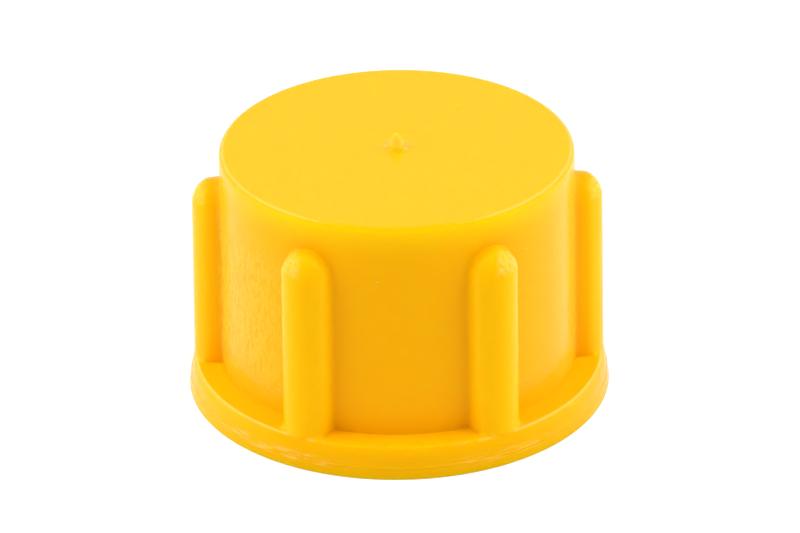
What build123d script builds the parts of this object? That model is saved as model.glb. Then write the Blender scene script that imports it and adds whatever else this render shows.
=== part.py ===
from build123d import *
from math import atan2, degrees, radians, tan
import os

os.makedirs("parts", exist_ok=True)

# A screw-on protection cap, moulded in one piece from soft polyethylene.
# Millimetres and degrees. The cap stands on its open rim: the origin is the middle of the
# rim's flat face, and +Z points out through the closed end.

# The thread that the cap screws onto, which sets the size of everything round it. The bore is
# at the crests of the cap's own thread, whose fine groove is a surface detail and isn't cut here.
thread_diameter = 22.0
thread_engagement = 0.42       # how far the cap's crests reach inside that diameter

# Body
cap_height = 18.15             # rim face to the flat of the closed end
wall_over_thread = 1.35        # body's outside beyond the thread, at the closed end
body_draft = 0.35
top_edge_radius = 0.5

# Collar round the open end
collar_flare = 2.45            # collar's foot beyond the body's outside at the closed end
collar_height = 2.25
collar_draft = 9.0
collar_edge_radius = 0.85

# Grip ribs
rib_count = 6
rib_turn = 0.5                 # the first rib from +X, about +Z
rib_width = 3.4                # across a rib where its crown begins
rib_stand_off = 1.95           # body to the crown's ridge, at the top of a rib
rib_crown_depth = 1.4
rib_shoulder_radius = 1.1      # the tighter arcs either side of the ridge
rib_flank_draft = 5.0
rib_lean = 0.5                 # the ridge leans out towards the collar
rib_top_gap = 2.25             # closed end down to the top of a rib

# Hollow
end_thickness = 1.65
inner_corner_bevel = 0.5       # where the bore meets the closed end
lead_in_depth = 1.2            # plain counterbore that guides the cap onto the thread
lead_in_clearance = 0.37       # radial room between the counterbore and that diameter
mouth_chamfer = 0.5

# Stub of the gate in the middle of the closed end
gate_stub_radius = 0.8
gate_stub_height = 1.12
gate_tip_radius = 0.16

# Sizes that follow
body_top_radius = thread_diameter / 2 + wall_over_thread
body_foot_radius = body_top_radius + (cap_height - collar_height) * tan(radians(body_draft))
collar_radius = body_top_radius + collar_flare
collar_top_radius = collar_radius - collar_height * tan(radians(collar_draft))
rib_top = cap_height - rib_top_gap
crest_radius = thread_diameter / 2 - thread_engagement
cavity_depth = cap_height - end_thickness
embed = 1.0                    # how far a joined form reaches into its neighbour
rib_foot = collar_height - embed
hair = 0.01                    # slack in picking edges by their place
tip_rounding = 0.9             # share of the stub's tip that its rounding takes


def turned_blank():
    """Body and collar as one solid of revolution, with their outer edges rounded."""
    with BuildPart() as blank:
        with BuildSketch(Plane.XZ):
            Polygon(
                (0, 0),
                (collar_radius, 0),
                (collar_top_radius, collar_height),
                (body_foot_radius, collar_height),
                (body_top_radius, cap_height),
                (0, cap_height),
                align=None,
            )
        revolve(axis=Axis.Z)
        circles = blank.edges().filter_by(GeomType.CIRCLE)
        top_edge = circles.sort_by(Axis.Z)[-1]
        on_collar = circles.filter_by_position(Axis.Z, collar_height - hair, collar_height + hair)
        fillet(top_edge, top_edge_radius)
        fillet(on_collar.sort_by(SortBy.RADIUS)[-1], collar_edge_radius)
    return blank.part


def grip_rib():
    """One rib on +X: a three-arc crown on drafted flanks, closed by a dome at its top."""
    spread = tan(radians(rib_flank_draft))
    half = rib_width / 2
    ridge_radius = body_top_radius + rib_stand_off
    crown_base = ridge_radius - rib_crown_depth
    # the ridge's arc touches the ridge line and the arc of each shoulder
    shoulder_y = half - rib_shoulder_radius
    ridge_arc = (rib_crown_depth**2 + shoulder_y**2 - rib_shoulder_radius**2) / (
        2 * (rib_crown_depth - rib_shoulder_radius)
    )
    ridge_half_angle = degrees(atan2(shoulder_y, ridge_arc - rib_crown_depth))
    shoulder_turn = 90 - rib_flank_draft - ridge_half_angle
    buried = body_top_radius - embed
    dome_centre = rib_top - half - (crown_base - body_top_radius) * spread
    with BuildPart() as rib:
        with BuildSketch(Plane.XY.offset(dome_centre)) as section:
            with BuildLine():
                CenterArc((ridge_radius - ridge_arc, 0), ridge_arc, 0, ridge_half_angle)
                shoulder = CenterArc(
                    (crown_base, shoulder_y), rib_shoulder_radius, ridge_half_angle, shoulder_turn
                )
                flank_end = shoulder @ 1
                buried_half = flank_end.Y + (flank_end.X - buried) * spread
                Polyline(flank_end, (buried, buried_half), (buried, 0), (ridge_radius, 0))
            make_face()
            mirror(about=Plane.XZ)
        extrude(amount=rib_foot - dome_centre)
        with BuildSketch(Plane.XY.offset(dome_centre)):
            add(section.sketch)
            split(bisect_by=Plane.XZ, keep=Keep.BOTTOM)
        revolve(axis=Axis((0, 0, dome_centre), (1, 0, 0)), revolution_arc=180)
    foot_hinge = Axis((ridge_radius, 0, dome_centre), (0, 1, 0))
    return rib.part.rotate(foot_hinge, -rib_lean)


def ribbed_body():
    """The blank with its ring of ribs, whose feet run down into the collar."""
    with BuildPart() as body:
        add(turned_blank())
        with PolarLocations(0, rib_count, start_angle=rib_turn):
            add(grip_rib())
    return body.part


def hollow():
    """The bore, with a counterbore and lead-ins at its mouth."""
    mouth_radius = thread_diameter / 2 + lead_in_clearance
    bore_start = lead_in_depth + mouth_radius - crest_radius
    with BuildPart() as space:
        with BuildSketch(Plane.XZ):
            Polygon(
                (0, -embed),
                (mouth_radius + mouth_chamfer + embed, -embed),
                (mouth_radius, mouth_chamfer),
                (mouth_radius, lead_in_depth),
                (crest_radius, bore_start),
                (crest_radius, cavity_depth - inner_corner_bevel),
                (crest_radius - inner_corner_bevel, cavity_depth),
                (0, cavity_depth),
                align=None,
            )
        revolve(axis=Axis.Z)
    return space.part


def gate_stub():
    """The little cone left where the sprue broke off."""
    with BuildPart(Location((0, 0, cap_height))) as stub:
        Cone(
            gate_stub_radius,
            gate_tip_radius,
            gate_stub_height,
            align=(Align.CENTER, Align.CENTER, Align.MIN),
        )
        fillet(stub.edges().sort_by(Axis.Z)[-1], gate_tip_radius * tip_rounding)
    return stub.part


def protection_cap():
    """The whole cap as one solid."""
    return ribbed_body() + gate_stub() - hollow()


cap = protection_cap()
export_step(cap, "parts/protection_cap.step")
print("volume", round(cap.volume, 1), "mm3, height", round(cap.bounding_box().size.Z, 2), "mm")
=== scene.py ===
import bpy
import math
from types import SimpleNamespace
from mathutils import Matrix, Vector


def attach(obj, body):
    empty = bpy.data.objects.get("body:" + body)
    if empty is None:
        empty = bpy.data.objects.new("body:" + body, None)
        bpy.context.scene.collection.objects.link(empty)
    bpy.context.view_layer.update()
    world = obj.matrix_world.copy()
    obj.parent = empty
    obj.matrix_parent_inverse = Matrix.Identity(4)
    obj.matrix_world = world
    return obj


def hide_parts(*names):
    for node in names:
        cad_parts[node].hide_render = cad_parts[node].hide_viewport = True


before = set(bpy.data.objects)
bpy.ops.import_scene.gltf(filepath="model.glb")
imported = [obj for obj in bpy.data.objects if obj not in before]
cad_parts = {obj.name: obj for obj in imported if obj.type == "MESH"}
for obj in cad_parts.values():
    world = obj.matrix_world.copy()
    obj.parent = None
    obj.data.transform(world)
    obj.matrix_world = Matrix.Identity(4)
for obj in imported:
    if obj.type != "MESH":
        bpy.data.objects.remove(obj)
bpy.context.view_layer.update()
mm = 0.001
print("frame loaded")


def deselectAll():
    if bpy.context.object and bpy.context.object.mode != "OBJECT":
        bpy.ops.object.mode_set(mode="OBJECT")
    bpy.ops.object.select_all(action="DESELECT")


def makeActive(thing):
    deselectAll()
    thing.select_set(True)
    bpy.context.view_layer.objects.active = thing


def selectVerts(thing, rule):
    # selects, in edit mode, the vertices whose place passes the rule
    bpy.ops.object.mode_set(mode="OBJECT")
    for part in (thing.data.polygons, thing.data.edges, thing.data.vertices):
        part.foreach_set("select", [False] * len(part))
    for v in thing.data.vertices:
        v.select = rule(v.co)
    bpy.ops.object.mode_set(mode="EDIT")
    bpy.ops.mesh.select_mode(type="VERT")


def extrudeRing(fromR, fromZ, toR, toZ):
    # the selected ring goes on to a new radius and height, in mm
    k = toR / fromR
    bpy.ops.mesh.extrude_edges_move()
    bpy.ops.transform.resize(value=(k, k, 1), center_override=(0, 0, 0))
    bpy.ops.transform.translate(value=(0, 0, (toZ - fromZ) * mm))


def arcPoints(centreR, centreZ, radius, start, end, steps):
    # (radius, height) points along an arc of a turned profile, in mm and degrees
    points = []
    for i in range(1, steps + 1):
        a = math.radians(start + (end - start) * i / steps)
        points.append((centreR + radius * math.cos(a), centreZ + radius * math.sin(a)))
    return points


def clamped(value):
    return max(0, min(1, value))


def smooth(t):
    return t * t * (3 - 2 * t)


# sizes in mm and degrees
cap = {
    "height": 18.15,            # rim face to the flat of the closed end
    "bodyTopRadius": 12.35,     # just under the closed end
    "bodyDraft": 0.35,
    "topEdgeRadius": 0.42,
    "collarRadius": 14.78,
    "collarHeight": 2.25,
    "collarDraft": 9.0,
    "collarCorner": (14.27, 2.16),      # outer end of the crisp corner on top of the collar
    "collarCornerRadius": 0.16,
    "collarSideTop": 1.5,               # a wide round runs from the corner down to here
    "ribCount": 6,
    "ribTurn": 0.5,             # first rib from +X
    "ribWidth": 3.4,
    "ribStandOff": 1.95,
    "ribCrownDepth": 1.4,
    "ribShoulderRadius": 1.1,
    "ribFlankDraft": 5.0,
    "ribLean": 0.5,
    "ribTopGap": 2.25,
    "ribRootRadius": 0.22,      # blend into the wall beside a rib
    "ribTopRootRadius": 0.06,   # and over its dome
    "collarRootRadius": 0.04,   # inside corner on top of the collar, by the wall
    "ribFootRadius": 0.6,       # and by the crown of a rib
    "footSlope": 60,            # how steeply the collar falls away under a rib's ridge,
    "footSlopeFrom": 13.6,      # counted from this radius
    "footSlopeReach": 0.85,     # and complete this much further out
}
sheet = {                       # how finely the skin of one sixth is laid
    "ridgeSteps": 5,
    "shoulderSteps": 8,
    "flankSteps": 2,
    "rootSteps": 3,
    "wallSteps": 8,
    "straightSteps": 14,
    "cornerSteps": 4,
    "shelfSteps": 4,
    "edgeSteps": 5,
    "roundSteps": 6,
    "wallSpread": 1.6,          # above 1, wall steps are closer together beside the root
    "straightSpread": 1.7,      # above 1, rows are closer together towards the foot
    "footBlendFade": 6,         # columns over which the blend of a rib's foot fades out,
    "footBlendGap": 8,          # and columns left without it beside the root
    "cornerFade": 0.3,          # mm before a rib's foot in which the corner's rows spread out
    "smallArcSteps": 24,        # how finely the collar's profile is measured
    "wideArcSteps": 40,
}

draftSlope = math.tan(math.radians(cap["bodyDraft"]))
flankSlope = math.tan(math.radians(cap["ribFlankDraft"]))
leanSlope = math.tan(math.radians(cap["ribLean"]))
collarSlope = math.tan(math.radians(cap["collarDraft"]))
halfRib = cap["ribWidth"] / 2
shoulderY = halfRib - cap["ribShoulderRadius"]
ridgeArc = (cap["ribCrownDepth"] ** 2 + shoulderY ** 2 - cap["ribShoulderRadius"] ** 2) / (
    2 * (cap["ribCrownDepth"] - cap["ribShoulderRadius"]))
ridgeTurn = math.atan2(shoulderY, ridgeArc - cap["ribCrownDepth"])
ridgeTopX = cap["bodyTopRadius"] + cap["ribStandOff"]
domeZ = (cap["height"] - cap["ribTopGap"] - halfRib
         - (cap["ribStandOff"] - cap["ribCrownDepth"]) * flankSlope)
wallTopZ = cap["height"] - cap["topEdgeRadius"]
sectorHalf = math.radians(180 / cap["ribCount"])


def wallRadius(z):
    return cap["bodyTopRadius"] + (cap["height"] - z) * draftSlope


def ridgeX(z):
    return ridgeTopX + max(0, domeZ - z) * leanSlope


def crownPoints(z):
    # half of a rib's crown, from its ridge to the end of its shoulder
    ridge = ridgeX(z)
    points = []
    for i in range(sheet["ridgeSteps"] + 1):
        a = ridgeTurn * i / sheet["ridgeSteps"]
        points.append((ridgeArc * math.sin(a), ridge - ridgeArc * (1 - math.cos(a))))
    shoulderEnd = math.radians(90 - cap["ribFlankDraft"])
    for i in range(1, sheet["shoulderSteps"] + 1):
        a = ridgeTurn + (shoulderEnd - ridgeTurn) * i / sheet["shoulderSteps"]
        points.append((shoulderY + cap["ribShoulderRadius"] * math.sin(a),
                       ridge - cap["ribCrownDepth"] + cap["ribShoulderRadius"] * math.cos(a)))
    return points


def rootArc(shoulderEnd, tilt, z):
    # the arc that blends the flank into the wall: its radius, its centre and the two
    # directions, out of the flank and out of the wall, in which it is touched
    def wallAt(q):
        h = z + q * math.sin(tilt)
        return math.sqrt(wallRadius(h) ** 2 - (q * math.cos(tilt)) ** 2)

    rho = cap["ribRootRadius"] + (cap["ribTopRootRadius"] - cap["ribRootRadius"]) * math.sin(tilt) ** 2
    flankAngle = math.radians(cap["ribFlankDraft"])
    flankNormal = Vector((math.cos(flankAngle), math.sin(flankAngle)))
    touch, probe = halfRib + rho, 0.01
    for tries in range(3):
        slope = (wallAt(touch + probe) - wallAt(touch - probe)) / (2 * probe)
        wallNormal = Vector((-slope, 1)).normalized()
        # the arc's centre is rho off both lines
        a1, b1 = flankNormal
        c1 = a1 * shoulderEnd[0] + b1 * shoulderEnd[1] + rho
        a2, b2 = wallNormal
        c2 = a2 * touch + b2 * wallAt(touch) + rho
        det = a1 * b2 - a2 * b1
        centre = Vector(((c1 * b2 - c2 * b1) / det, (a1 * c2 - a2 * c1) / det))
        touch = centre[0] - rho * wallNormal[0]
    return rho, centre, flankNormal, wallNormal


def ribSection(tilt, z):
    # one half of a rib cut square to its outline: (distance from the spine, distance from
    # the cap's axis) from ridge to wall. The tilt is 0 on the straight flank, 90 degrees at the top.
    points = crownPoints(z)
    shoulderEnd = points[-1]
    rho, centre, flankNormal, wallNormal = rootArc(shoulderEnd, tilt, z)
    flankFoot = centre - flankNormal * rho
    for i in range(1, sheet["flankSteps"] + 1):
        t = i / sheet["flankSteps"]
        points.append(tuple(a + (b - a) * t for a, b in zip(shoulderEnd, flankFoot)))
    startTurn = math.atan2(-flankNormal[1], -flankNormal[0]) % (2 * math.pi)
    endTurn = math.atan2(-wallNormal[1], -wallNormal[0]) % (2 * math.pi)
    for i in range(1, sheet["rootSteps"] + 1):
        a = startTurn + (endTurn - startTurn) * i / sheet["rootSteps"]
        points.append((centre[0] + rho * math.cos(a), centre[1] + rho * math.sin(a)))
    return points


ribRings = sheet["ridgeSteps"] + sheet["shoulderSteps"] + sheet["flankSteps"] + sheet["rootSteps"]
allRings = ribRings + sheet["wallSteps"]


def turned(radius, azimuth, z):
    return Vector((radius * math.cos(azimuth), radius * math.sin(azimuth), z))


def wallPoint(inner, azimuth, z, ring):
    # between the rib's root and a place on the sector's border
    t = ((ring - ribRings) / sheet["wallSteps"]) ** sheet["wallSpread"]
    innerAzimuth = math.atan2(inner.y, inner.x)
    height = inner.z + (z - inner.z) * t
    return turned(wallRadius(height), innerAzimuth + (azimuth - innerAzimuth) * t, height)


def upperPoint(column, row):
    # above the straight part: rings round the dome, opening out to the sector's square border
    side = abs(column)
    ring = max(side, row)
    if ring == 0:
        return Vector((ridgeX(domeZ), 0, domeZ))
    eighth = math.pi / 4
    if row <= side:
        tilt = eighth * row / side
        borderAzimuth, borderZ = sectorHalf, domeZ + (wallTopZ - domeZ) * row / allRings
    else:
        tilt = math.pi / 2 - eighth * side / row
        borderAzimuth, borderZ = sectorHalf * side / allRings, wallTopZ
    section = ribSection(tilt, domeZ)
    q, x = section[min(ring, ribRings)]
    point = Vector((x, q * math.cos(tilt), domeZ + q * math.sin(tilt)))
    if ring > ribRings:
        point = wallPoint(point, borderAzimuth, borderZ, ring)
    if column < 0:
        point.y = -point.y
    return point


def sidePoint(column, z):
    # on the straight part, at a given height
    ring = abs(column)
    q, x = ribSection(0, z)[min(ring, ribRings)]
    point = Vector((x, q, z))
    if ring > ribRings:
        point = wallPoint(point, sectorHalf, z, ring)
    if column < 0:
        point.y = -point.y
    return point


def collarProfile():
    # over the collar's top, from inside the wall to the drafted side: (radius, height, tilt, length)
    sideZ = cap["collarSideTop"]
    sideR = cap["collarRadius"] - sideZ * collarSlope
    sideTilt = math.radians(90 - cap["collarDraft"])
    cornerR, cornerZ = cap["collarCorner"]
    chordTilt = math.atan2(cornerZ - sideZ, sideR - cornerR)
    cornerTilt = 2 * chordTilt - sideTilt
    wide = math.hypot(cornerZ - sideZ, sideR - cornerR) / (2 * math.sin((sideTilt - cornerTilt) / 2))
    small = cap["collarCornerRadius"]
    tilts = [cornerTilt * i / sheet["smallArcSteps"] for i in range(sheet["smallArcSteps"] + 1)]
    arcs = [(small, a) for a in tilts]
    tilts = [cornerTilt + (sideTilt - cornerTilt) * i / sheet["wideArcSteps"]
             for i in range(1, sheet["wideArcSteps"] + 1)]
    arcs += [(wide, a) for a in tilts]
    arcs = [(cornerR + arc * (math.sin(a) - math.sin(cornerTilt)),
             cornerZ + arc * (math.cos(a) - math.cos(cornerTilt)), a) for arc, a in arcs]
    shelfR, shelfZ = arcs[0][:2]
    innerR = cap["bodyTopRadius"] - 0.5
    rise = (cap["collarHeight"] - shelfZ) / (shelfR - wallRadius(cap["collarHeight"]))
    arcs.insert(0, (innerR, shelfZ + (shelfR - innerR) * rise, 0))
    rows, length = [], 0
    for i, (r, z, a) in enumerate(arcs):
        if i:
            length += math.hypot(r - arcs[i - 1][0], z - arcs[i - 1][1])
        rows.append((r, z, a, length))
    return rows


collarRows = collarProfile()
cornerStart, cornerEnd, edgeLength = (collarRows[i][3] for i in (1, sheet["smallArcSteps"] + 1, -1))


def onCollar(value, column):
    # the profile's row where its radius (column 0) or length (column 3) has this value
    value = min(max(value, collarRows[0][column]), collarRows[-1][column])
    for before, after in zip(collarRows, collarRows[1:]):
        if value <= after[column]:
            t = (value - before[column]) / (after[column] - before[column])
            return [b + (a - b) * t for b, a in zip(before, after)]
    return collarRows[-1]


def columnFoot(column):
    # where a column runs down onto the collar, and which way it faces there
    z = cap["collarHeight"]
    for tries in range(4):
        here = sidePoint(column, z)
        z = onCollar(math.hypot(here.x, here.y), 0)[1]
    here = sidePoint(column, z)
    before = sidePoint(max(column - 1, -allRings), z)
    after = sidePoint(min(column + 1, allRings), z)
    along = (after - before).normalized()
    return here, Vector((along.y, -along.x, 0))


def collarLengths(start):
    # how far along the collar's profile each row lies: over the shelf, its crisp corner
    # and the wide round below
    lengths, before = [], start
    for stretch, end in (("shelfSteps", cornerStart), ("edgeSteps", cornerEnd), ("roundSteps", edgeLength)):
        steps = sheet[stretch]
        lengths += [before + (end - before) * i / steps for i in range(1, steps + 1)]
        before = end
    # beside a rib's foot the corner fades out, and the rows spread evenly
    fade = smooth(clamped((start - cornerStart) / sheet["cornerFade"] + 1))
    even = [start + (edgeLength - start) * (i + 1) / len(lengths) for i in range(len(lengths))]
    return [length + (evenly - length) * fade for length, evenly in zip(lengths, even)]


def lowerColumn(column):
    # one column from under the dome's middle down the rib or wall, over the collar's top, to its side
    foot, outwards = columnFoot(column)
    fall = smooth(clamped((math.hypot(foot.x, foot.y) - cap["footSlopeFrom"]) / cap["footSlopeReach"]))
    slope = math.radians(cap["footSlope"]) * fall
    onRib = clamped((ribRings - sheet["footBlendGap"] - abs(column)) / sheet["footBlendFade"])
    root = cap["collarRootRadius"] + (cap["ribFootRadius"] - cap["collarRootRadius"]) * onRib
    reach = root * math.tan((math.pi / 2 - slope) / 2)
    top = foot.z + reach
    points = []
    steps = sheet["straightSteps"]
    for i in range(1, steps + 1):
        t = 1 - (1 - i / steps) ** sheet["straightSpread"]
        points.append(sidePoint(column, domeZ + (top - domeZ) * t))
    upper = points[-1]
    out = foot + outwards * reach * math.cos(slope)
    out.z = onCollar(math.hypot(out.x, out.y), 0)[1]
    steps = sheet["cornerSteps"]
    for i in range(1, steps + 1):
        t = i / steps
        points.append(upper * (1 - t) ** 2 + foot * 2 * t * (1 - t) + out * t * t)
    start = onCollar(math.hypot(out.x, out.y), 0)[3]
    startAzimuth = math.atan2(out.y, out.x)
    endAzimuth = sectorHalf * column / allRings
    for length in collarLengths(start):
        t = (length - start) / (edgeLength - start)
        radius, height = onCollar(length, 3)[:2]
        points.append(turned(radius, startAzimuth + (endAzimuth - startAzimuth) * t, height))
    return points


def laySheet():
    # the outside of one sixth of the cap: a flat grid laid onto the rib, the wall and the collar
    columns = 2 * allRings + 1
    lowerRows = (sheet["straightSteps"] + sheet["cornerSteps"] + sheet["shelfSteps"]
                 + sheet["edgeSteps"] + sheet["roundSteps"])
    rows = allRings + 1 + lowerRows
    deselectAll()
    bpy.ops.mesh.primitive_grid_add(x_subdivisions=columns - 1, y_subdivisions=rows - 1, size=2)
    sheetPiece = bpy.context.object
    places = {}
    for column in range(-allRings, allRings + 1):
        for row in range(allRings + 1):
            places[column + allRings, lowerRows + row] = upperPoint(column, row)
        for i, point in enumerate(lowerColumn(column)):
            places[column + allRings, lowerRows - 1 - i] = point
    # the first and last columns lie exactly in the planes where the copies meet
    for (i, j), point in places.items():
        if i in (0, columns - 1):
            places[i, j] = turned(math.hypot(point.x, point.y), sectorHalf if i else -sectorHalf, point.z)
    for v in sheetPiece.data.vertices:
        i = round((v.co.x + 1) / 2 * (columns - 1))
        j = round((v.co.y + 1) / 2 * (rows - 1))
        v.co = places[i, j] * mm
    return sheetPiece


capPiece = laySheet()
capPiece.name = "cap"
print("outside of one sixth laid:", len(capPiece.data.vertices), "points")


# the closed end, the collar's side and the hollow are drawn out ring by ring
closedEnd = {
    "haloRadius": 2.7,          # shallow dish round the gate
    "haloDepth": 0.014,
    "stubRadius": 0.8,
    "stubHeight": 1.1,
    # a ragged foot, then a blunt cone: (share of the stub's radius, height on a scale of 1.06)
    "stubOutline": [(1.16, 0.02), (1.09, 0.07), (0.99, 0.13), (0.88, 0.2), (0.77, 0.27), (0.68, 0.34),
                    (0.61, 0.42), (0.54, 0.51), (0.47, 0.61), (0.4, 0.71), (0.33, 0.81), (0.26, 0.9),
                    (0.18, 0.98), (0.1, 1.035), (0.04, 1.06)],
}
rim = {
    "ridgeZ": 0.85,             # fine raised line round the collar
    "ridgeOut": 0.035,
    "mouthRadius": 11.37,
    "mouthChamfer": 0.5,
    "counterboreDepth": 1.2,
}
thread = {
    "rootRadius": 11.12,
    "crestRadius": 10.58,
    "pitch": 1.5,
    "crestWidth": 0.62,
    "baseWidth": 1.28,          # at the wall of the bore
    "sunk": 0.12,               # how far the ridge's base reaches into that wall,
    "sunkSpread": 0.07,         # and how much wider it gets on each side there
    "edgeRound": 0.1,
    "start": 2.5,
    "turns": 8,
    "fadeTurns": 1 / 6,         # its ends sink into the wall over this much of a turn
    "turnSteps": 72,
    "end": 14.9,                # where the wide part of the bore ends
    "cavityDepth": 16.5,
    "cornerRadius": 0.5,
}


def runRings(thing, startR, startZ, stations):
    selectVerts(thing, lambda co: abs(co.z - startZ * mm) < 1e-7
                and abs(math.hypot(co.x, co.y) - startR * mm) < 1e-6)
    r, z = startR, startZ
    for toR, toZ in stations:
        extrudeRing(r, z, toR, toZ)
        r, z = toR, toZ
    bpy.ops.object.mode_set(mode="OBJECT")


def topStations():
    h = cap["height"]
    rTop = wallRadius(wallTopZ) - cap["topEdgeRadius"]
    stations = arcPoints(rTop, wallTopZ, cap["topEdgeRadius"], 0, 90, 6)
    stations += [(rTop - 0.1, h), (rTop - 0.6, h), (9.5, h), (7, h), (5, h), (3.6, h)]
    halo, low = closedEnd["haloRadius"], h - closedEnd["haloDepth"]
    stations += [(halo + 0.3, h), (halo + 0.12, h + 0.003), (halo, h + 0.002), (halo - 0.15, low + 0.004),
                 (halo - 0.3, low), (2.1, low), (1.7, low), (1.35, low), (1.1, low + 0.01)]
    outlineTop = closedEnd["stubOutline"][-1][1]
    for part, up in closedEnd["stubOutline"]:
        stations.append((closedEnd["stubRadius"] * part, low + up * closedEnd["stubHeight"] / outlineTop))
    stations.append((0, low + closedEnd["stubHeight"] * 1.005))
    return stations


def bottomStations():
    def side(z):
        return cap["collarRadius"] - z * collarSlope

    line, out = rim["ridgeZ"], rim["ridgeOut"]
    stations = [(side(z), z) for z in (1.4, 1.2, line + 0.14, line + 0.07)]
    stations += [(side(z) + out, z) for z in (line + 0.025, line - 0.025)]
    stations += [(side(z), z) for z in (line - 0.07, line - 0.16, 0.5, 0.34, 0.2, 0.1)]
    stations += [(side(0.04) + 0.01, 0.04), (side(0) - 0.03, 0.0)]
    # the rim's flat face, the mouth and the counterbore
    mouth, chamfer, deep = rim["mouthRadius"], rim["mouthChamfer"], rim["counterboreDepth"]
    opening = mouth + chamfer
    stations += [(side(0) - 0.1, 0), (14.2, 0), (13, 0), (opening + 0.1, 0), (opening, 0),
                 (mouth + 0.03, chamfer - 0.03), (mouth, chamfer + 0.04),
                 (mouth, deep - 0.04), (mouth - 0.03, deep + 0.03)]
    # the bore, as wide as the thread's root and then as its crests, and the closed end's inside
    root, crest, end = thread["rootRadius"], thread["crestRadius"], thread["end"]
    step, land = mouth - root, root - crest
    stations += [(root, deep + step), (root, deep + step + 0.1)]
    stations += [(root, z) for z in (4, 7, 10, 13, end - 0.1, end)]
    corner, depth = thread["cornerRadius"], thread["cavityDepth"]
    stations += [(crest, end + land), (crest, end + land + 0.1), (crest, depth - corner)]
    stations += arcPoints(crest - corner, depth - corner, corner, 0, 90, 5)
    stations += [(r, depth) for r in (9, 6, 3, 1, 0)]
    return stations


runRings(capPiece, wallRadius(wallTopZ), wallTopZ, topStations())
runRings(capPiece, collarRows[-1][0], collarRows[-1][1], bottomStations())
print("closed end, rim and hollow done")

# six copies round the axis make the whole cap
weldDistance = 2e-6
makeActive(capPiece)
bpy.ops.object.mode_set(mode="EDIT")
bpy.ops.mesh.select_mode(type="VERT")
bpy.ops.mesh.select_all(action="SELECT")
bpy.ops.mesh.spin(steps=cap["ribCount"], dupli=True, angle=2 * math.pi, center=(0, 0, 0), axis=(0, 0, 1))
bpy.ops.mesh.select_all(action="SELECT")
bpy.ops.mesh.remove_doubles(threshold=weldDistance)
bpy.ops.mesh.select_all(action="SELECT")
bpy.ops.transform.rotate(value=-math.radians(cap["ribTurn"]), orient_axis="Z", center_override=(0, 0, 0))
bpy.ops.mesh.normals_make_consistent(inside=False)
bpy.ops.object.mode_set(mode="OBJECT")
print("cap closed:", len(capPiece.data.polygons), "faces")


def sinkEnds(ridge, outer):
    # both ends of the screw run out into the bore's wall
    climb = thread["turns"] * thread["pitch"] * mm
    turnRate = thread["pitch"] * mm / (2 * math.pi)
    for v in ridge.data.vertices:
        r, a = math.hypot(v.co.x, v.co.y), math.atan2(v.co.y, v.co.x) % (2 * math.pi)
        turn = round((v.co.z - thread["start"] * mm - a * turnRate) / (thread["pitch"] * mm))
        t = (a + turn * 2 * math.pi) * turnRate / climb
        fade = smooth(clamped(min(t, 1 - t) * thread["turns"] / thread["fadeTurns"]))
        k = (r + (1 - fade) * (outer * mm - r)) / r
        v.co.x *= k
        v.co.y *= k


def closeAndTurnOut(ridge):
    makeActive(ridge)
    bpy.ops.object.mode_set(mode="EDIT")
    bpy.ops.mesh.select_mode(type="VERT")
    bpy.ops.mesh.select_all(action="SELECT")
    bpy.ops.mesh.fill_holes(sides=0)
    bpy.ops.mesh.select_all(action="SELECT")
    bpy.ops.mesh.normals_make_consistent(inside=False)
    bpy.ops.object.mode_set(mode="OBJECT")
    # the crest has to face the hollow
    crest = min(ridge.data.polygons, key=lambda face: math.hypot(face.center.x, face.center.y))
    if crest.normal.dot(Vector((crest.center.x, crest.center.y, 0))) > 0:
        bpy.ops.object.mode_set(mode="EDIT")
        bpy.ops.mesh.select_all(action="SELECT")
        bpy.ops.mesh.flip_normals()
        bpy.ops.object.mode_set(mode="OBJECT")


def addThread():
    # a rounded trapezoid, screwed round the axis
    deselectAll()
    bpy.ops.mesh.primitive_plane_add(size=1)
    ridge = bpy.context.object
    inner, outer = thread["crestRadius"], thread["rootRadius"] + thread["sunk"]
    halfCrest, halfBase = thread["crestWidth"] / 2, thread["baseWidth"] / 2 + thread["sunkSpread"]
    section = [(inner, -halfCrest), (outer, -halfBase), (outer, halfBase), (inner, halfCrest)]
    corners = sorted(ridge.data.vertices, key=lambda v: math.atan2(v.co.y, v.co.x))
    for v, (r, z) in zip(corners, section):
        v.co = (r * mm, 0, (thread["start"] + z) * mm)
    makeActive(ridge)
    bpy.ops.object.mode_set(mode="EDIT")
    bpy.ops.mesh.select_all(action="SELECT")
    bpy.ops.mesh.bevel(offset=thread["edgeRound"] * mm, segments=2, affect="VERTICES")
    bpy.ops.mesh.delete(type="ONLY_FACE")
    bpy.ops.object.mode_set(mode="OBJECT")
    bpy.ops.object.modifier_add(type="SCREW")
    screw = ridge.modifiers[-1]
    screw.angle = 2 * math.pi
    screw.screw_offset = thread["pitch"] * mm
    screw.iterations = thread["turns"]
    screw.steps = thread["turnSteps"]
    screw.render_steps = thread["turnSteps"]
    bpy.ops.object.modifier_apply(modifier=screw.name)
    sinkEnds(ridge, outer)
    closeAndTurnOut(ridge)
    return ridge


threadRidge = addThread()
print("thread:", len(threadRidge.data.polygons), "faces")

# one object for the whole cap
deselectAll()
threadRidge.select_set(True)
capPiece.select_set(True)
bpy.context.view_layer.objects.active = capPiece
bpy.ops.object.join()
bpy.ops.object.shade_smooth_by_angle(angle=math.radians(40))
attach(capPiece, "root")
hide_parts("protection_cap")


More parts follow.
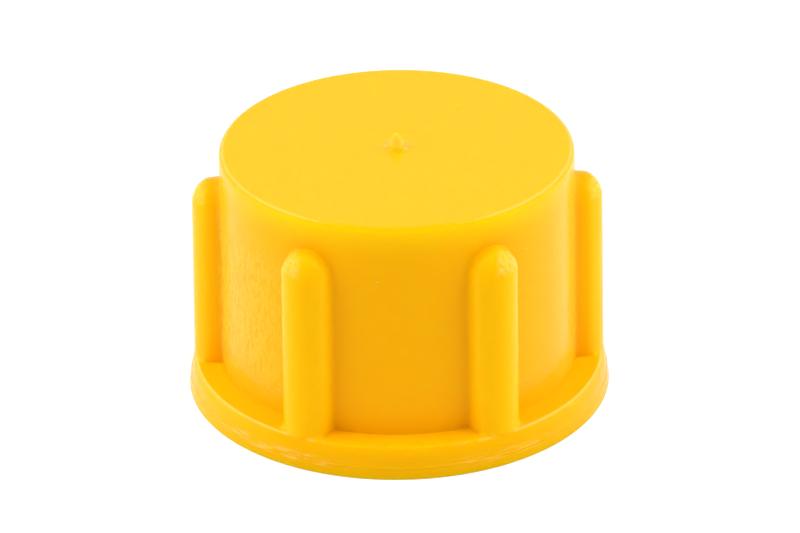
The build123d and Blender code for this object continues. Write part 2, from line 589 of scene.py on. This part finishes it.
moulding = {
    "colour": (0.97, 0.445, 0.0006),    # the thin wall, and most of the closed end
    "paintedLight": (0.97, 0.515, 0.0006),     # painted light: a lighter tone on the ribs and the collar, where they catch more light
    "rim": (0.85, 0.442, 0.0006),       # painted shade: a darker colour on the collar's side
    "scuffedAndHighlight": (1.0, 0.63, 0.18),        # where the skin is scuffed, and painted highlights on the crisp edges and the domes
    "glowing": (1.0, 0.62, 0.001),      # where light comes through just under the closed end's edge
    "sheenAndDulled": (1.0, 0.575, 0.04),        # painted sheen on the wall, and where the skin is only dulled
    "roughness": 0.24,
    "ior": 1.5,
    "specularLevel": 0.15,
    "specularTint": (1, 0.85, 0.1),
    "subsurface": 0.5,
    "subsurfaceRadius": (1.0, 0.25, 0.03),
    "subsurfaceScale": 0.0013,
    "peelHeight": 0.0022,               # mm, soft waviness of the whole skin
    "pitHeight": 0.022,                 # mm, pitted streaks on the wall
    "shredHeight": 0.015,               # mm, torn skin on the collar's lower band
    "scratchHeight": 0.012,
    "speckHeight": 0.01,
    "crumbHeight": 0.04,
}


def newGroup(name, inputs):
    # a node group that gives one mask
    group = bpy.data.node_groups.new(name, "ShaderNodeTree")
    for label, kind, value in inputs:
        socket = group.interface.new_socket(name=label, in_out="INPUT", socket_type=kind)
        if value is not None:
            socket.default_value = value
    group.interface.new_socket(name="Mask", in_out="OUTPUT", socket_type="NodeSocketFloat")
    return group, group.nodes.new("NodeGroupInput").outputs, group.nodes.new("NodeGroupOutput").inputs


def calc(operation, first, second=None, clamp=False):
    # a math node, in the node tree that its sockets belong to
    tree = (first if isinstance(first, bpy.types.NodeSocket) else second).id_data
    node = tree.nodes.new("ShaderNodeMath")
    node.operation = operation
    node.use_clamp = clamp
    for entry, value in zip(node.inputs, (first, second)):
        if isinstance(value, bpy.types.NodeSocket):
            tree.links.new(value, entry)
        elif value is not None:
            entry.default_value = value
    return node.outputs[0]


def times(first, second):
    return calc("MULTIPLY", first, second)


def plus(first, second, clamp=False):
    return calc("ADD", first, second, clamp)


def minus(first, second, clamp=False):
    return calc("SUBTRACT", first, second, clamp)


def higher(first, second):
    return calc("MAXIMUM", first, second)


def above(value, level):
    return calc("GREATER_THAN", value, level)


def below(value, level):
    return calc("LESS_THAN", value, level)


def rise(value, start, length):
    # 0 up to the start, then up to 1 over the length
    return calc("DIVIDE", minus(value, start), length, clamp=True)


def fall(value, end, length):
    # 1, then down to 0 over the length before the end
    return calc("DIVIDE", minus(end, value), length, clamp=True)


def streakGroup():
    # long thin marks: noise that is stretched along the cap's axis or round it
    group, given, result = newGroup(
        "streaks",
        [("Place", "NodeSocketVector", None), ("Across per mm", "NodeSocketFloat", 3.0),
         ("Up per mm", "NodeSocketFloat", 1.0), ("Detail", "NodeSocketFloat", 2.0),
         ("From", "NodeSocketFloat", 0.5), ("To", "NodeSocketFloat", 0.7)])
    nodes, links = group.nodes, group.links
    parts = nodes.new("ShaderNodeSeparateXYZ")
    links.new(given["Place"], parts.inputs[0])
    joined = nodes.new("ShaderNodeCombineXYZ")
    for axis, scale in (("X", "Across per mm"), ("Y", "Across per mm"), ("Z", "Up per mm")):
        links.new(times(parts.outputs[axis], given[scale]), joined.inputs[axis])
    grain = nodes.new("ShaderNodeTexNoise")
    grain.inputs["Scale"].default_value = 1.0
    links.new(joined.outputs[0], grain.inputs["Vector"])
    links.new(given["Detail"], grain.inputs["Detail"])
    sharpen = nodes.new("ShaderNodeMapRange")
    sharpen.interpolation_type = "SMOOTHSTEP"
    links.new(grain.outputs["Fac"], sharpen.inputs["Value"])
    links.new(given["From"], sharpen.inputs["From Min"])
    links.new(given["To"], sharpen.inputs["From Max"])
    links.new(sharpen.outputs["Result"], result["Mask"])
    return group


def bandGroup():
    # 1 between two levels, with soft edges
    group, given, result = newGroup(
        "band",
        [("Value", "NodeSocketFloat", 0.0), ("Low", "NodeSocketFloat", 0.0),
         ("High", "NodeSocketFloat", 1.0), ("Soft", "NodeSocketFloat", 0.1)])
    value, soft = given["Value"], given["Soft"]
    mask = times(rise(value, given["Low"], soft), fall(value, given["High"], soft))
    group.links.new(mask, result["Mask"])
    return group


def useGroup(tree, group, values):
    node = tree.nodes.new("ShaderNodeGroup")
    node.node_tree = group
    for label, value in values.items():
        if isinstance(value, bpy.types.NodeSocket):
            tree.links.new(value, node.inputs[label])
        else:
            node.inputs[label].default_value = value
    return node.outputs["Mask"]


def skinOf(tree):
    # what every mask starts from: the place on the cap in mm, and ways to mark out a part of it
    streakNodes, bandNodes = streakGroup(), bandGroup()
    coords = tree.nodes.new("ShaderNodeTexCoord")
    inMm = tree.nodes.new("ShaderNodeVectorMath")
    inMm.operation = "SCALE"
    inMm.inputs["Scale"].default_value = 1 / mm
    tree.links.new(coords.outputs["Object"], inMm.inputs[0])
    place = inMm.outputs[0]
    parts = tree.nodes.new("ShaderNodeSeparateXYZ")
    tree.links.new(place, parts.inputs[0])
    x, y, z = parts.outputs
    radius = calc("SQRT", plus(times(x, x), times(y, y)))

    def band(value, low, high, soft):
        return useGroup(tree, bandNodes, {"Value": value, "Low": low, "High": high, "Soft": soft})

    def streaks(across, up, detail, low, high):
        return useGroup(tree, streakNodes, {"Place": place, "Across per mm": across, "Up per mm": up,
                                            "Detail": detail, "From": low, "To": high})

    def facing(azimuth, low, high):
        # 1 on the side of the cap that faces this azimuth, in degrees from +X
        a = math.radians(azimuth)
        towards = plus(times(x, math.cos(a)), times(y, math.sin(a)))
        return rise(calc("DIVIDE", towards, radius), low, high - low)

    def noise(scale, detail):
        grain = tree.nodes.new("ShaderNodeTexNoise")
        grain.inputs["Scale"].default_value = scale
        grain.inputs["Detail"].default_value = detail
        tree.links.new(place, grain.inputs["Vector"])
        return grain.outputs["Fac"]

    return SimpleNamespace(tree=tree, place=place, x=x, z=z, radius=radius,
                           band=band, streaks=streaks, facing=facing, noise=noise)


def wallMarks(skin):
    z, facing = skin.z, skin.facing
    wall = skin.band(skin.radius, 12.0, 12.75, 0.1)
    # pitted, upright streaks, most of them on one side
    pits = skin.streaks(3.2, 1.3, 2.5, 0.45, 0.60)
    pitted = times(times(wall, skin.band(z, 2.6, 15.5, 2.5)), plus(0.08, facing(204, 0.84, 0.97)))
    # scratches that run round the wall's foot
    scratches = skin.streaks(0.5, 13.0, 1.0, 0.655, 0.70)
    scratched = times(times(wall, skin.band(z, 2.9, 5.2, 0.8)),
                      higher(facing(216, 0.85, 0.95), facing(318, 0.85, 0.95)))
    # painted sheen: paler where it turns away beside the side ribs, and between its pits
    limb = plus(times(facing(190, 0.94, 1.0), 0.2), times(facing(348, 0.94, 1.0), 0.3))
    paintedSheen = plus(times(times(wall, skin.band(z, 2.4, 18.2, 0.4)), limb),
                times(pitted, times(minus(1.0, pits), 0.36)))
    return {"pits": times(pits, pitted), "scratches": times(scratches, scratched), "wallSheen": paintedSheen}


def edgeMarks(skin):
    z, radius, facing = skin.z, skin.radius, skin.facing
    # torn skin on the lowest band of the collar
    rimZone = times(skin.band(z, 0.5, 1.3, 0.18), above(radius, 14.4))
    shreds = skin.streaks(0.7, 8.5, 3.0, 0.50, 0.59)
    worn = plus(0.06, higher(facing(230, 0.92, 0.975), times(facing(299, 0.955, 0.99), 0.4)), clamp=True)
    # painted highlight: the crisp edges of the collar and the closed end are painted pale where they catch
    # the side lamps, in dashes at the front
    dashes = skin.streaks(1.6, 1.6, 2.0, 0.47, 0.56)
    sideways = higher(facing(205, 0.74, 0.9), facing(335, 0.74, 0.9))
    nearFront = times(dashes, minus(0.9, facing(268, 0.9, 0.97), clamp=True))
    collarLine = times(skin.band(radius, 14.15, 14.33, 0.05), skin.band(z, 2.0, 2.3, 0.06))
    topLine = times(skin.band(z, 18.05, 18.146, 0.02), above(radius, 11.9))
    return {"shreds": times(shreds, times(rimZone, worn)),
            "edgeHighlight": times(higher(collarLine, topLine), higher(sideways, nearFront))}


def ribAndStubMarks(skin):
    z, radius = skin.z, skin.radius
    # painted highlight: the domes of the ribs are painted pale on their outer sides, where the side lamps
    # reflect, with some grain
    offCentre = calc("ABSOLUTE", skin.x)
    outerSide = plus(skin.band(offCentre, 6.6, 9.2, 0.4), rise(offCentre, 13.2, 0.6), clamp=True)
    outerSide = times(outerSide, above(radius, 12.75))
    domeGrain = skin.streaks(5.0, 5.0, 2.0, 0.35, 0.65)
    domeHighlight = times(skin.band(z, 14.35, 15.9, 0.45), times(outerSide, domeGrain))
    # pale crumbs at the foot of the stub
    stubFoot = times(skin.band(radius, 0.5, 0.98, 0.1), above(z, 18.0))
    flanks = higher(skin.facing(190, 0.55, 0.85), skin.facing(350, 0.55, 0.85))
    lumps = skin.streaks(5.0, 5.0, 2.0, 0.5, 0.6)
    onStub = times(below(radius, 0.9), skin.band(z, 18.3, 20, 0.3))
    return {"domeHighlight": domeHighlight, "crumbs": times(stubFoot, times(flanks, lumps)), "onStub": onStub}


def specks(skin):
    # a few tiny pale ones
    dots = skin.tree.nodes.new("ShaderNodeTexVoronoi")
    dots.inputs["Scale"].default_value = 0.42
    skin.tree.links.new(skin.place, dots.inputs["Vector"])
    return below(dots.outputs["Distance"], 0.035)


def addRelief(skin, marks, shader):
    relief = times(skin.noise(2.2, 3), moulding["peelHeight"])
    for mark, height in (("pits", -moulding["pitHeight"]), ("scratches", moulding["scratchHeight"]),
                         ("shreds", moulding["shredHeight"]), ("specks", moulding["speckHeight"]),
                         ("crumbs", moulding["crumbHeight"])):
        relief = plus(relief, times(marks[mark], height))
    bump = skin.tree.nodes.new("ShaderNodeBump")
    bump.inputs["Strength"].default_value = 1.0
    bump.inputs["Distance"].default_value = mm
    skin.tree.links.new(relief, bump.inputs["Height"])
    skin.tree.links.new(bump.outputs["Normal"], shader.inputs["Normal"])


def paintedLightShare(skin):
    # painted light: 1 where a lighter tone is painted in for light on the ribs, the collar and the wall's
    # foot and head
    z, radius, facing = skin.z, skin.radius, skin.facing
    paintedLight = times(skin.band(z, 2.0, 17.4, 0.25), rise(radius, 12.55, 0.5))
    paintedLight = times(paintedLight, plus(0.4, calc("DIVIDE", minus(16.1, z), 1.9), clamp=True))
    # painted light on the wall where it runs into the collar, lifting the shade in that corner, and where
    # it runs up to the closed end
    foot = minus(1.0, rise(z, 2.2, 1.2))
    head = rise(z, 14.5, 3.0)
    wallZone = times(skin.band(z, 2.1, 17.6, 0.2), above(radius, 12.0))
    paintedLight = higher(paintedLight, times(wallZone, plus(times(foot, 0.5), times(head, 0.5))))
    # painted light on the collar, mostly at its two sides
    collarSides = higher(facing(195, 0.7, 1.0), times(facing(345, 0.7, 1.0), 0.5))
    collarZone = times(below(z, 2.3), above(radius, 12.7))
    paintedLight = times(paintedLight, minus(1.0, times(collarZone, 0.7)))
    return plus(paintedLight, times(collarZone, times(collarSides, 0.75)), clamp=True)


def underEdgeGlow(skin):
    # just under the closed end's edge, weaker on the far left and right
    z, facing = skin.z, skin.facing
    underEdge = times(calc("POWER", rise(z, 15.9, 1.8), 1.6),
                      times(above(skin.radius, 12.0), fall(z, 18.13, 0.25)))
    return times(underEdge, minus(0.85, times(higher(facing(180, 0.6, 0.95), facing(0, 0.6, 0.95)), 0.6)))


def mixColour(share, first, second):
    tree = share.id_data
    node = tree.nodes.new("ShaderNodeMix")
    node.data_type = "RGBA"
    tree.links.new(share, node.inputs["Factor"])
    for name, colour in (("A", first), ("B", second)):
        if isinstance(colour, bpy.types.NodeSocket):
            tree.links.new(colour, node.inputs[name])
        else:
            node.inputs[name].default_value = (*colour, 1)
    return node.outputs["Result"]


def addColour(skin, marks, shader):
    # shreds, scratches, specks and crumbs take the pale colour, and so do the painted highlights on the
    # crisp edges and domes
    scuffedAndHighlight = plus(times(marks["shreds"], 0.5), times(marks["scratches"], 0.4))
    for mark, share in (("specks", 0.6), ("edgeHighlight", 0.45), ("crumbs", 0.7), ("domeHighlight", 0.5)):
        scuffedAndHighlight = plus(scuffedAndHighlight, times(marks[mark], share), clamp=True)
    # painted shade: the collar's side below its corner takes the darker colour
    shadedCollarSide = times(fall(skin.z, 2.15, 0.3), above(skin.radius, 13.4))
    onEnd = times(above(skin.z, 18.1), 0.2)
    # painted light: the lighter tone, also given to the stub and a little to the closed end's face
    paintedLight = higher(paintedLightShare(skin), higher(marks["onStub"], onEnd))
    # painted sheen on the wall, together with the dulled stub and the crumbs at its foot
    sheenAndDulled = higher(higher(marks["wallSheen"], marks["onStub"]), marks["crumbs"])
    colour = mixColour(shadedCollarSide, moulding["colour"], moulding["rim"])
    colour = mixColour(paintedLight, colour, moulding["paintedLight"])
    colour = mixColour(underEdgeGlow(skin), colour, moulding["glowing"])
    colour = mixColour(sheenAndDulled, colour, moulding["sheenAndDulled"])
    colour = mixColour(scuffedAndHighlight, colour, moulding["scuffedAndHighlight"])
    skin.tree.links.new(colour, shader.inputs["Base Color"])


def addGloss(skin, marks, shader):
    patchy = times(skin.noise(0.35, 2), 0.08)
    rough = plus(plus(moulding["roughness"] - 0.04, patchy), times(marks["shreds"], 0.3))
    skin.tree.links.new(rough, shader.inputs["Roughness"])
    shader.inputs["IOR"].default_value = moulding["ior"]
    shader.inputs["Specular IOR Level"].default_value = moulding["specularLevel"]
    shader.inputs["Specular Tint"].default_value = (*moulding["specularTint"], 1)
    shader.inputs["Subsurface Weight"].default_value = moulding["subsurface"]
    shader.inputs["Subsurface Radius"].default_value = moulding["subsurfaceRadius"]
    shader.inputs["Subsurface Scale"].default_value = moulding["subsurfaceScale"]


def mouldedPlastic():
    plastic = bpy.data.materials.new("yellow polyethylene")
    plastic.use_nodes = True
    shader = plastic.node_tree.nodes["Principled BSDF"]
    skin = skinOf(plastic.node_tree)
    marks = {**wallMarks(skin), **edgeMarks(skin), **ribAndStubMarks(skin), "specks": specks(skin)}
    addRelief(skin, marks, shader)
    addColour(skin, marks, shader)
    addGloss(skin, marks, shader)
    return plastic


capPiece.data.materials.clear()
capPiece.data.materials.append(mouldedPlastic())
print("plastic ready")


# floor, world and camera, in metres for the floor, mm and degrees for the camera
studio = {
    "floorSize": 0.9,
    "floorColour": (0.9, 0.9, 0.9),     # what lights the cap from below
    "floorRoughness": 0.9,
    "floorSeen": (0.3, 0.3, 0.3),       # the part of what is seen that keeps the cap's shadow
    "floorGlow": 0.75,                  # and the part that doesn't
    "worldColour": (1, 1, 1),
    "worldStrength": 0.43,
    "worldSeen": 1,                     # strength behind the cap, on the node's own pale grey
    "cameraPitch": 28.066,
    "cameraRoll": -0.737,
    "cameraDistance": 456.85,
    "aim": (0.136, 0, 8.744),
    "lens": 293.6,
    "sensorWidth": 36,
    "clipStart": 0.01,
}
# softboxes: place, size and power
softboxes = {
    "left": ((-0.30, -0.04, 0.39), 0.3, 1.12),
    "right": ((0.30, -0.04, 0.39), 0.3, 1.12),
    "low left": ((-0.48, 0.04, 0.15), 0.45, 0.98),
    "low right": ((0.48, 0.04, 0.15), 0.45, 0.98),
    "top": ((0.0, -0.1, 0.49), 0.45, 0.38),
}
softboxAim = (0, 0, 0.008)


def showBackground(tree, lighting, seen, output):
    # the first shader lights the cap, the second is what the camera, gloss and glass look at
    path = tree.nodes.new("ShaderNodeLightPath").outputs
    looked = higher(higher(path["Is Camera Ray"], path["Is Glossy Ray"]), path["Is Transmission Ray"])
    mix = tree.nodes.new("ShaderNodeMixShader")
    for source, entry in zip((looked, lighting.outputs[0], seen.outputs[0]), mix.inputs):
        tree.links.new(source, entry)
    tree.links.new(mix.outputs[0], tree.nodes[output].inputs[0])


def layFloor():
    bpy.ops.mesh.primitive_plane_add(size=studio["floorSize"])
    plane = bpy.context.object
    plane.name = "floor"
    paint = bpy.data.materials.new("pale floor")
    paint.use_nodes = True
    tree = paint.node_tree
    lighting = tree.nodes["Principled BSDF"]
    lighting.inputs["Base Color"].default_value = (*studio["floorColour"], 1)
    lighting.inputs["Roughness"].default_value = studio["floorRoughness"]
    lighting.inputs["Specular IOR Level"].default_value = 0
    shaded = tree.nodes.new("ShaderNodeBsdfDiffuse")
    shaded.inputs["Color"].default_value = (*studio["floorSeen"], 1)
    glow = tree.nodes.new("ShaderNodeEmission")
    glow.inputs["Strength"].default_value = studio["floorGlow"]
    both = tree.nodes.new("ShaderNodeAddShader")
    tree.links.new(shaded.outputs[0], both.inputs[0])
    tree.links.new(glow.outputs[0], both.inputs[1])
    showBackground(tree, lighting, both, "Material Output")
    plane.data.materials.append(paint)
    return plane


def lightWorld():
    world = bpy.data.worlds.new("studio")
    bpy.context.scene.world = world
    world.use_nodes = True
    around = world.node_tree.nodes["Background"]
    around.inputs["Color"].default_value = (*studio["worldColour"], 1)
    around.inputs["Strength"].default_value = studio["worldStrength"]
    behind = world.node_tree.nodes.new("ShaderNodeBackground")
    behind.inputs["Strength"].default_value = studio["worldSeen"]
    showBackground(world.node_tree, around, behind, "World Output")


def hangSoftboxes():
    for name, (place, size, power) in softboxes.items():
        deselectAll()
        beam = Vector(softboxAim) - Vector(place)
        turn = beam.to_track_quat("-Z", "Y").to_euler()
        bpy.ops.object.light_add(type="AREA", location=place, rotation=turn)
        box = bpy.context.object
        box.name = name + " softbox"
        box.data.size = size
        box.data.energy = power


def setCamera():
    pitch, roll = math.radians(studio["cameraPitch"]), math.radians(studio["cameraRoll"])
    forward = Vector((0, math.cos(pitch), -math.sin(pitch)))
    right = Vector((1, 0, 0))
    up = right.cross(forward)
    turnedRight = right * math.cos(roll) + up * math.sin(roll)
    turnedUp = up * math.cos(roll) - right * math.sin(roll)
    target = Vector(studio["aim"]) * mm
    bpy.ops.object.camera_add(location=target - forward * studio["cameraDistance"] * mm)
    camera = bpy.context.object
    camera.rotation_euler = Matrix((turnedRight, turnedUp, -forward)).transposed().to_euler()
    camera.data.sensor_width = studio["sensorWidth"]
    camera.data.lens = studio["lens"]
    camera.data.clip_start = studio["clipStart"]
    bpy.context.scene.camera = camera


floor = layFloor()
lightWorld()
hangSoftboxes()
setCamera()
bpy.context.scene.view_settings.view_transform = "Standard"
print("studio set")
